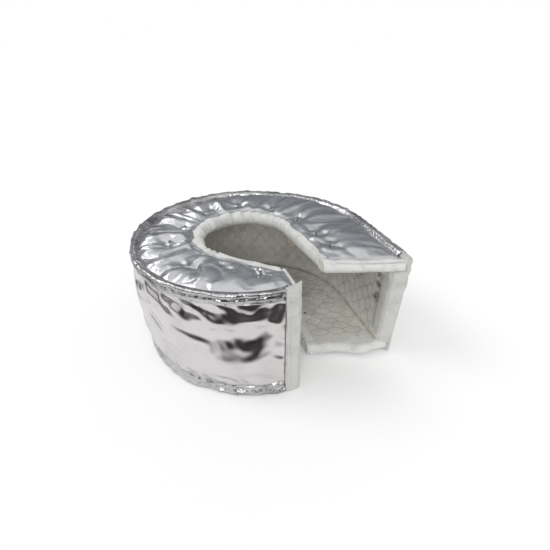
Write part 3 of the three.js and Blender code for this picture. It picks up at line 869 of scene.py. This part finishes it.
def bottom_place(u, v):
    along = u * BAND
    width = width_at(BOTTOM, along)
    in_from = SEAM_INSET + v * (width - SEAM_INSET - RIM_INSET)
    in_from_rim = from_rim(along, in_from, width)
    rise = BOTTOM_RISE * (1 - smooth((in_from_rim - 6) / 9))
    pucker = -tufts(BOTTOM, BOTTOM_TACKS, along, in_from, 1.2)
    folds = 0.5 * np.abs(noise(along / 9, in_from / 30, 41)) * smooth((in_from_rim - 8) / 8)
    height = np.maximum(FLOOR_CLEARANCE, rise + pucker + folds)
    return panel_point(BOTTOM, along, in_from, height)


bottom_cover = lay_grid("bottom_cover_foil", BOTTOM_COLUMNS, BOTTOM_ROWS, bottom_place, downward)
finish_sheet(bottom_cover, "bottom_cover", top_foil, COVER_THICKNESS)

# %% [markdown]
# Where a panel meets the band the cloth is folded and sewn, and the fold stands out as a crumpled
# ridge. It is a strip laid round the corner, with two or three ridges along it and noise on top.

# %% Seams round the top and the bottom
def strip_path(shape, v):
    """Places across a strip from a short list of (out, height) points, spaced evenly."""
    shape = np.array(shape, float)
    steps = np.concatenate([[0], np.cumsum(np.linalg.norm(np.diff(shape, axis=0), axis=1))])
    share = v * steps[-1]
    return np.interp(share, steps, shape[:, 0]), np.interp(share, steps, shape[:, 1])


# Each seam's strip from one edge to the other: how far out, and how high.
TOP_SEAM = [(-0.2, 87.4), (0.8, 88.6), (0.4, 90.0), (1.5, 91.2), (1.6, 92.6),
            (0.5, 93.6), (1.3, 95.0), (1.0, 96.6), (-0.3, 97.2), (-1.4, 96.3),
            (-2.6, 96.7), (-4.0, 95.8), (-5.4, 94.0), (-6.4, 92.6)]
BOTTOM_SEAM = [(-0.4, 12.4), (0.4, 10.8), (1.5, 9.0), (1.3, 7.9), (0.6, 7.4),
               (1.2, 5.8), (2.2, 3.6), (1.9, 2.6), (1.3, 2.2), (2.0, 1.2),
               (0.8, 0.3), (-2.0, 0.5), (-5.0, 1.4)]
SEAM_COLUMNS = 420
SEAM_ROWS = 20
SEAM_THICKNESS = 0.3
SEAM_CLEARANCE = 0.15
SEAM_END_DROP = 1.2
SEAM_TAPE = 9


def make_seam(name, shape, node, crumple, length, seed):
    def seam_place(u, v):
        along = SEAM_TAPE + u * (BAND - 2 * SEAM_TAPE)
        out, height = strip_path(shape, v)
        free = np.sin(np.pi * np.clip(v, 0, 1)) ** 0.5
        out = out - SEAM_END_DROP * (1 - end_share(along - SEAM_TAPE, 4))
        finer = noise(along / (0.5 * length), v * 4, seed + 1)
        folds = ridges(along / length, v * 3, seed) - 0.45 + 0.7 * finer
        twist = noise(along / (1.7 * length), v * 2, seed + 2)
        out = out + crumple * free * (0.8 * folds + 0.5 * twist)
        lift = crumple * free * (0.5 * folds - 0.6 * twist)
        height = np.maximum(SEAM_CLEARANCE, height + lift)
        return wall_point(along, -out, height)

    seam = lay_grid(name, SEAM_COLUMNS, SEAM_ROWS, seam_place, outward)
    # The darker seam foil is painted shade.
    finish_sheet(seam, node, seam_foil, SEAM_THICKNESS)


make_seam("top_seam_foil", TOP_SEAM, "top_outer_seam", crumple=0.8, length=7.5, seed=51)
make_seam("bottom_seam_foil", BOTTOM_SEAM, "bottom_outer_seam", crumple=1.2, length=5.0, seed=61)

# %% [markdown]
# The lining is the same strip and panels again, from the inside. It is a soft matt cloth with
# slow folds, and a knitted wire mesh lies on it, pressed a little into the cloth.

# %% Linings
FLOOR_HEIGHT = PANEL_THICKNESS
CEILING_HEIGHT = WALL_HEIGHT - PANEL_THICKNESS
LINING_COLUMNS = 240
LINING_CLOTH = 0.6
LINING_START = 8
LINING_END = 1


def wall_lining_in(along, height):
    soft = 0.9 * noise(along / 30, height / 45, 71) + 0.35 * noise(along / 9, height / 16, 73)
    corner = 1.8 * bump(height, FLOOR_HEIGHT + 4.5, 3) + 1.2 * bump(height, CEILING_HEIGHT - 4, 3)
    return WALL_THICKNESS + soft + corner


def floor_height(along, in_from):
    width = width_at(BOTTOM, along)
    soft = 0.8 * noise(along / 24, in_from / 24, 75) + 0.3 * noise(along / 8, in_from / 8, 77)
    held = smooth((width - in_from) / 10)
    soft = soft + 2.0 * bump(in_from, WALL_THICKNESS + 5, 3.5)
    return FLOOR_HEIGHT + (0.3 + soft) * held + tufts(BOTTOM, BOTTOM_TACKS, along, in_from, -1.1)


def ceiling_height(along, in_from):
    soft = 0.8 * noise(along / 24, in_from / 24, 79)
    return CEILING_HEIGHT - 0.4 - soft + tufts(TOP, TOP_TACKS, along, in_from, 1.1)


def lining_wall_place(u, v):
    along = LINING_END + u * (BAND - 2 * LINING_END)
    height = FLOOR_HEIGHT - 0.5 + v * (CEILING_HEIGHT - FLOOR_HEIGHT + 1)
    return wall_point(along, wall_lining_in(along, height), height)


def lining_floor_place(u, v):
    along = LINING_END + u * (BAND - 2 * LINING_END)
    in_from = LINING_START + v * (width_at(BOTTOM, along) - LINING_START - RIM_INSET)
    return panel_point(BOTTOM, along, in_from, floor_height(along, in_from))


def lining_ceiling_place(u, v):
    along = LINING_END + u * (BAND - 2 * LINING_END)
    in_from = LINING_START + v * (width_at(TOP, along) - LINING_START - RIM_INSET)
    return panel_point(TOP, along, in_from, ceiling_height(along, in_from))


for name, rows, laid, facing, node, backing in (
        ("wall_lining_cloth", 34, lining_wall_place, inward, "wall_lining", "wall_insulation"),
        ("floor_lining_cloth", 24, lining_floor_place, upward, "bottom_lining", "bottom_insulation"),
        ("ceiling_lining_cloth", 24, lining_ceiling_place, downward, "top_lining", "top_insulation")):
    lining = lay_grid(name, LINING_COLUMNS, rows, laid, facing)
    finish_sheet(lining, node, lining_cloth, LINING_CLOTH)


# %% Threads and wires, drawn as thin bevelled curves
def new_thread(name, radius_mm, resolution):
    curve = bpy.data.curves.new(name, "CURVE")
    curve.dimensions = "3D"
    curve.bevel_depth = radius_mm * MM
    curve.bevel_resolution = resolution
    return curve


def add_thread(curve, points):
    spline = curve.splines.new("POLY")
    spline.points.add(len(points) - 1)
    spline.points.foreach_set("co", np.hstack([to_row(points), np.ones((len(points), 1))]).ravel())


def finish_thread(curve, material):
    piece = bpy.data.objects.new(curve.name, curve)
    bpy.context.collection.objects.link(piece)
    select_only(piece)
    bpy.ops.object.convert(target="MESH")
    piece = bpy.context.object
    piece.data.materials.append(material)
    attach(piece, "root")
    print(piece.name, len(piece.data.polygons), "faces")


# %% The wire mesh on the lining
CELL = 7.5
WIRE_RADIUS = 0.13
WIRE_END = 12
WIRE_LIFT = 0.12
SHORTEST_WIRE = 3


def runs_inside(inside):
    """The start and end of each unbroken run of points that lie on the cloth."""
    changes = np.diff(np.concatenate([[0], inside.astype(int), [0]]))
    return np.flatnonzero(changes).reshape(-1, 2)


def wire_mesh(name, panel_rows, place_wire):
    """Zigzag wires that meet their neighbours."""
    curve = new_thread(name, WIRE_RADIUS, 0)
    steps = int(BAND / (CELL / 4))
    along = np.linspace(WIRE_END, BAND - WIRE_END, steps)
    for row in range(panel_rows):
        phase = row % 2 * CELL
        wave = 2 * np.abs(((along + phase) / (2 * CELL)) % 1 - 0.5)
        sway = 1.1 * noise(along / 16, row * 0.5, 81)
        offset = (row + 0.5 + np.clip(2.2 * (wave - 0.5), -0.48, 0.48)) * CELL + sway
        points, inside = place_wire(along, offset)
        for start, end in runs_inside(inside):
            if end - start > SHORTEST_WIRE:
                add_thread(curve, points[start:end])
    finish_thread(curve, mesh_wire)


def wall_wire(along, offset):
    height = FLOOR_HEIGHT + 1 + offset
    inside = height < CEILING_HEIGHT - 1
    return wall_point(along, wall_lining_in(along, height) + WIRE_LIFT, height), inside


def floor_wire(along, offset):
    in_from = WALL_THICKNESS + offset
    inside = width_at(BOTTOM, along) - in_from > OPENING_TAPE - RIM_INSET
    return panel_point(BOTTOM, along, in_from, floor_height(along, in_from) + WIRE_LIFT), inside


def ceiling_wire(along, offset):
    in_from = WALL_THICKNESS + offset
    inside = width_at(TOP, along) - in_from > OPENING_TAPE - RIM_INSET
    return panel_point(TOP, along, in_from, ceiling_height(along, in_from) - WIRE_LIFT), inside


wire_mesh("wall_wire_mesh", 10, wall_wire)
wire_mesh("floor_wire_mesh", 8, floor_wire)
wire_mesh("ceiling_wire_mesh", 8, ceiling_wire)

# %% [markdown]
# Glass tape is folded over every raw edge. Round the hole it has to go round a tight curve, so it
# is taken up in small pleats. On straight edges it lies nearly flat.

# %% Tapes folded over the panels' edges
TAPE_THICKNESS = 0.8
PLEAT_LENGTH = 27
TAPE_ROWS = 22
OPENING_COLUMNS = 300
END_COLUMNS = 60
TOP_UNDER = CEILING_HEIGHT + 0.6
FLOOR_UNDER = 3.0


def pleats(along, seed):
    """Lopsided folds from 0 to 1, closer together at the hole than the band's length tells."""
    phase = along / PLEAT_LENGTH + 0.7 * noise(along / 40, seed, seed)
    saw = phase % 1
    fold = np.where(saw < 0.7, saw / 0.7, (1 - saw) / 0.3)
    return fold * (0.65 + 0.35 * noise(along / 30, seed + 3, seed))


def fold_over(v, top, under, width_mm, puff):
    """Places across a tape folded over a rim: how far in from the rim, and the height."""
    middle = (top + under) / 2
    flat = 0 * v
    half = 0.55 * width_mm + flat
    shape_in = np.stack([width_mm + flat, half, 1.6 + flat, -0.5 + flat, -1.1 + flat,
                         -0.5 + flat, 1.6 + flat, half, width_mm + flat])
    shape_up = np.stack([top + 0.35, top + 0.9 + puff, top + 0.9 + puff,
                         top - 0.9 + 0.4 * puff, middle,
                         under + 0.9, under - 0.7, under - 0.8, under - 0.35])
    last = len(shape_in) - 1
    place = v * last
    low = np.minimum(place.astype(int), last - 1)
    share = place - low
    share = share * share * (3 - 2 * share) * 0.5 + share * 0.5
    index = np.arange(len(v))
    back = shape_in[low, index] * (1 - share) + shape_in[low + 1, index] * share
    up = shape_up[low, index] * (1 - share) + shape_up[low + 1, index] * share
    return back, up


def opening_tape(name, panel, upper, low, node, seed, pleated):
    def tape_place(u, v):
        along = END_TAPE - 2 + u * (BAND - 2 * END_TAPE + 4)
        width = width_at(panel, along)
        top = upper(along, width - RIM_INSET)
        under = low + 0 * along
        roundness = pleated * smooth((along - 50) / 40) * (1 - 0.85 * smooth((along - 360) / 50))
        fold = pleats(along, seed) * (0.25 + roundness)
        puff = 3.0 * fold * np.exp(-((v - 0.3) / 0.3) ** 2)
        waver = 1.2 * noise(along / 12, seed, seed + 5) + 0.5 * noise(along / 4, seed, seed + 6)
        back, up = fold_over(v, top, under, 9.0 + waver, puff)
        back = back - 2.4 * fold * bump(v, 0.42, 0.25)
        return panel_point(panel, along, width - back, up)

    tape = lay_grid(name, OPENING_COLUMNS, TAPE_ROWS, tape_place, inward)
    finish_sheet(tape, node, tape_cloth, TAPE_THICKNESS)


def top_rim(along, in_from):
    return top_height(along, in_from) - 0.2


def floor_rim(along, _):
    return FLOOR_HEIGHT - 0.2 + 0 * along


opening_tape("top_opening_tape", TOP, top_rim, TOP_UNDER, "top_opening_binding",
             seed=91, pleated=1.0)
opening_tape("bottom_opening_tape", BOTTOM, floor_rim, FLOOR_UNDER, "bottom_opening_binding",
             seed=97, pleated=0.6)


# %% Tapes over the ends of the panels
def end_tape(name, panel, at_start, start_in, upper, low, node, seed, tape_width, kink=0):
    def tape_place(u, v):
        width_end = float(width_at(panel, np.array(0.0 if at_start else BAND)))
        in_from = start_in + u * (width_end + 1.0 - start_in)
        edge = np.full_like(u, 0.0 if at_start else BAND)
        top = upper(edge, np.minimum(in_from, width_end - RIM_INSET))
        under = low + 0 * edge
        waver = 0.8 * noise(in_from / 14, seed, seed) + 0.4 * noise(in_from / 4, seed, seed + 1)
        puff = 0.5 * noise(in_from / 9, v * 3, seed + 2) * np.sin(np.pi * v)
        back, up = fold_over(v, top, under, tape_width + waver, puff)
        along = back if at_start else BAND - back
        along = along + kink * bump(in_from, 27, 13) * smooth((tape_width - back) / tape_width)
        return panel_point(panel, along, in_from, up)

    tape = lay_grid(name, END_COLUMNS, TAPE_ROWS, tape_place, upward)
    face_out(tape)
    finish_sheet(tape, node, tape_cloth, TAPE_THICKNESS)


end_tape("top_near_tape", TOP, True, 3.6, top_rim, TOP_UNDER, "top_near_binding",
         seed=101, tape_width=10)
end_tape("top_far_tape", TOP, False, 3.4, top_rim, TOP_UNDER, "top_far_binding",
         seed=103, tape_width=10)
end_tape("bottom_near_tape", BOTTOM, True, 3.6, floor_rim, FLOOR_UNDER, "bottom_near_binding",
         seed=105, tape_width=10)
end_tape("floor_mouth_tape", BOTTOM, False, 3.6, floor_rim, FLOOR_UNDER, "bottom_mouth_binding",
         seed=107, tape_width=11, kink=5)


# %% The upright tapes over the ends of the band
UPRIGHT_COLUMNS = 90
UPRIGHT_ROWS = 24
UPRIGHT_WIDTH = 11
UPRIGHT_LOW = 0.3


def wall_tape(name, at_start, node, seed, ear_height):
    def tape_place(u, v):
        ear = ear_height * np.exp(-((v - 0.4) / 0.28) ** 2)
        high = WALL_HEIGHT + 1.5 + ear
        height = UPRIGHT_LOW + u * (high - UPRIGHT_LOW)
        beside = smooth((height - CEILING_HEIGHT + 1) / 2) + smooth((FLOOR_HEIGHT + 1 - height) / 2)
        deep = WALL_THICKNESS + 0.6 - 8.4 * np.minimum(beside, 1)
        back, across = fold_over(v, 0 * v + 1.2, -deep, UPRIGHT_WIDTH, 0 * v)
        pinch = smooth((height - WALL_HEIGHT + 1.5) / 3)
        across = across * (1 - 0.8 * pinch) - 0.8 * pinch
        soft = 0.5 * noise(height / 22, v * 3, seed) + 0.25 * noise(height / 7, v * 5, seed + 1)
        folds = -1.3 * bump(height, 88, 2.2) + 0.9 * bump(height, 84, 2.5) - 0.8 * bump(height, 79, 2)
        out = across + (soft + 0.6 * folds * (v < 0.6)) * np.sin(np.pi * v)
        along = back + 0.5 * noise(height / 18, seed, seed + 2)
        along = along if at_start else BAND - along
        return wall_point(along, -out, height)

    tape = lay_grid(name, UPRIGHT_COLUMNS, UPRIGHT_ROWS, tape_place, outward)
    face_out(tape)
    # The upright tapes' darker cloth is painted shade.
    finish_sheet(tape, node, shaded_tape, TAPE_THICKNESS)


wall_tape("wall_near_tape", True, "wall_near_binding", seed=111, ear_height=2.6)
wall_tape("wall_far_tape", False, "wall_far_binding", seed=117, ear_height=0.8)

# %% Foil that shows through at the far end's inner edge
# Each patch: how far from the end, how high, half its length and half its height.
PATCHES = [(15.5, 73, 2.2, 3.0), (14.5, 62.5, 3.0, 3.2), (13.5, 51, 3.4, 5.6)]
PATCH_LIFT = 0.5
PATCH_THICKNESS = 0.2
PATCH_COLUMNS = 16
PATCH_ROWS = 20


def foil_patch(order, back, level, half_length, half_height):
    """A crumpled scrap on the lining."""
    def patch_place(u, v):
        angle = (u - 0.5) * 2
        rise = (v - 0.5) * 2
        along = BAND - back + half_length * angle * np.sqrt(1 - 0.4 * rise**2)
        height = level + half_height * rise * np.sqrt(1 - 0.4 * angle**2)
        crumple = 0.5 * noise(along / 2.2, height / 2.6, 131 + order)
        in_from = wall_lining_in(along, height) + PATCH_LIFT + crumple
        return wall_point(along, in_from, height)

    patch = lay_grid(f"foil_patch_{order + 1}", PATCH_COLUMNS, PATCH_ROWS, patch_place, inward)
    apply_modifier(patch, "SOLIDIFY", thickness=PATCH_THICKNESS * MM, offset=-1, use_rim=True)
    # The patches take the darker seam foil, whose darkness is painted shade.
    patch.data.materials.append(seam_foil)
    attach(patch, "root")


for order, patch in enumerate(PATCHES):
    foil_patch(order, *patch)
print("patches", len(PATCHES))

# %% [markdown]
# Small things make the cloth look sewn: a row of stitches along the tapes, and the knots of the
# tacks. The knots are CAD nodes and keep their place. They only get a material.

# %% Stitches
STITCH_LENGTH = 3.0
STITCH_PITCH = 4.2
STITCH_OUT = 2.5
STITCH_RADIUS = 0.32
STITCH_ROWS = (9.6, 6.9)


def stitch_row(name, points):
    """A row of short threads along a line of points in millimetres, sunk a little in the cloth."""
    steps = np.concatenate([[0], np.cumsum(np.linalg.norm(np.diff(points, axis=0), axis=1))])
    curve = new_thread(name, STITCH_RADIUS, 1)
    curve.use_fill_caps = True
    for start in np.arange(1, steps[-1] - STITCH_LENGTH, STITCH_PITCH):
        share = start + np.array([0, 0.5, 1]) * STITCH_LENGTH
        add_thread(curve, np.stack([np.interp(share, steps, points[:, k]) for k in range(3)], axis=1))
    finish_thread(curve, stitch_thread)


heights = np.linspace(3, 94, 60)
level = 0 * heights
for order, back in enumerate(STITCH_ROWS):
    for end, along in (("near", back), ("far", BAND - back)):
        stitch_row(f"{end}_stitches_{order + 1}", wall_point(along + level, -STITCH_OUT + level, heights))

# %% Materials for the CAD nodes that stay
for name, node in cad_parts.items():
    if node.hide_render:
        continue
    material = thread_steel if "tack" in name else mat_fibre
    for slot in node.material_slots:
        slot.material = material
    print(name, material.name)

# %% [markdown]
# The photo's view is close: a short lens, about a third of a metre away and looking down. The
# light is a plain studio: a pale floor, a white surround and two soft lamps. Foil shows what is
# round it, so dark cards stand where the photo's reflections are dark.

# %% Camera
CAMERA_PLACE = (-64.2, -252.4, 225.5)
CAMERA_AIM = (26.6, -3.1, 45)
LENS = 21.93
SENSOR_WIDTH = 36
NEAREST_SEEN = 0.01
camera_data = bpy.data.cameras.new("camera")
camera = bpy.data.objects.new("camera", camera_data)
bpy.context.collection.objects.link(camera)
camera_data.lens = LENS
camera_data.sensor_width = SENSOR_WIDTH
camera_data.clip_start = NEAREST_SEEN
camera.location = Vector(to_row(np.array(CAMERA_PLACE)))
aim = Vector(to_row(np.array(CAMERA_AIM)))
camera.rotation_euler = (aim - camera.location).to_track_quat("-Z", "Y").to_euler()
bpy.context.scene.camera = camera

# %% Floor
FLOOR_DROP = 0.0002
FLOOR_SIZE = 120
WHITE = (1, 1, 1, 1)
FLOOR_GREY = (0.86, 0.86, 0.86, 1)
bpy.ops.object.select_all(action="DESELECT")
bpy.ops.mesh.primitive_plane_add(size=FLOOR_SIZE, location=(0, 0, -FLOOR_DROP))
floor = bpy.context.object
floor.name = "floor"
floor_material, floor_tree, floor_shader = new_material("floor_paint", (1, 1, 1), 1.0)
floor_shader.inputs["Specular IOR Level"].default_value = 0.0
floor_paths = floor_tree.nodes.new("ShaderNodeLightPath")
floor_tint = mix_colour(floor_tree, floor_paths.outputs["Is Camera Ray"], FLOOR_GREY, WHITE)
floor_tree.links.new(floor_tint, floor_shader.inputs["Base Color"])
floor.data.materials.append(floor_material)


# %% Lamps and cards
def sun_lamp(name, come_from, spread_degrees, strength):
    data = bpy.data.lights.new(name, "SUN")
    data.angle = math.radians(spread_degrees)
    data.energy = strength
    lamp = bpy.data.objects.new(name, data)
    bpy.context.collection.objects.link(lamp)
    lamp.rotation_euler = (-Vector(come_from)).to_track_quat("-Z", "Y").to_euler()
    return lamp


sun_lamp("key_lamp", (-0.9, 0.5, 1.0), 25, 0.55)
sun_lamp("front_lamp", (-0.4, -1.0, 0.55), 35, 1.1)


def card(name, place, aim_at, width, height, colour, graded=0.0):
    """A card that only reflections see. It can grow lighter towards its upper edge."""
    bpy.ops.object.select_all(action="DESELECT")
    bpy.ops.mesh.primitive_plane_add(size=1)
    piece = bpy.context.object
    piece.name = name
    piece.scale = (width, height, 1)
    piece.location = place
    piece.rotation_euler = (Vector(aim_at) - Vector(place)).to_track_quat("Z", "Y").to_euler()
    material = bpy.data.materials.new(name)
    material.use_nodes = True
    tree = material.node_tree
    tree.nodes.remove(tree.nodes["Principled BSDF"])
    glow = tree.nodes.new("ShaderNodeEmission")
    across = tree.nodes.new("ShaderNodeSeparateXYZ")
    tree.links.new(tree.nodes.new("ShaderNodeTexCoord").outputs["Object"], across.inputs[0])
    lighter = tuple(channel + graded for channel in colour)
    share = ramp(tree, across.outputs["Y"], -0.3, 0.5)
    tint = mix_colour(tree, share, (*colour, 1), (*lighter, 1))
    tree.links.new(tint, glow.inputs["Color"])
    tree.links.new(glow.outputs[0], tree.nodes["Material Output"].inputs["Surface"])
    piece.data.materials.append(material)
    for ray in ("camera", "diffuse", "shadow", "transmission"):
        setattr(piece, "visible_" + ray, False)
    return piece


DARK = (0.035, 0.032, 0.032)
card("left_ground_card", (-0.74, 0.15, 0.001), (-0.74, 0.15, 1.0), 0.9, 1.6, DARK)
card("room_card", (-0.35, -1.25, 0.25), (0, -0.2, 0.2), 2.6, 0.8, DARK)
card("ground_card", (-0.2, -0.72, 0.001), (-0.2, -0.72, 1.0), 2.2, 1.05, DARK)
card("ceiling_card", (0.55, 0.85, 0.75), (0, 0, 0.08), 1.9, 1.5, (0.2, 0.208, 0.225), graded=0.26)
card("back_card", (0.1, 1.6, 0.15), (0, 0, 0.15), 3.2, 0.42, (0.06, 0.06, 0.065))
card("left_card", (-0.62, 1.05, 0.8), (0, 0, 0.08), 0.9, 1.2, (0.24, 0.24, 0.255))
card("glint_card", (-0.4, 0.8, 0.95), (0, 0, 0.08), 0.5, 0.2, (2.6, 2.6, 2.6))

# %% World
SURROUND_LIGHT = 0.75
world = bpy.data.worlds.new("surround")
bpy.context.scene.world = world
world.use_nodes = True
tree = world.node_tree
background = tree.nodes["Background"]
background.inputs["Color"].default_value = WHITE
seen = tree.nodes.new("ShaderNodeLightPath").outputs["Is Camera Ray"]
strength = maths(tree, "ADD", maths(tree, "MULTIPLY", seen, 1 - SURROUND_LIGHT), SURROUND_LIGHT)
tree.links.new(strength, background.inputs["Strength"])
bpy.context.scene.view_settings.view_transform = "Standard"
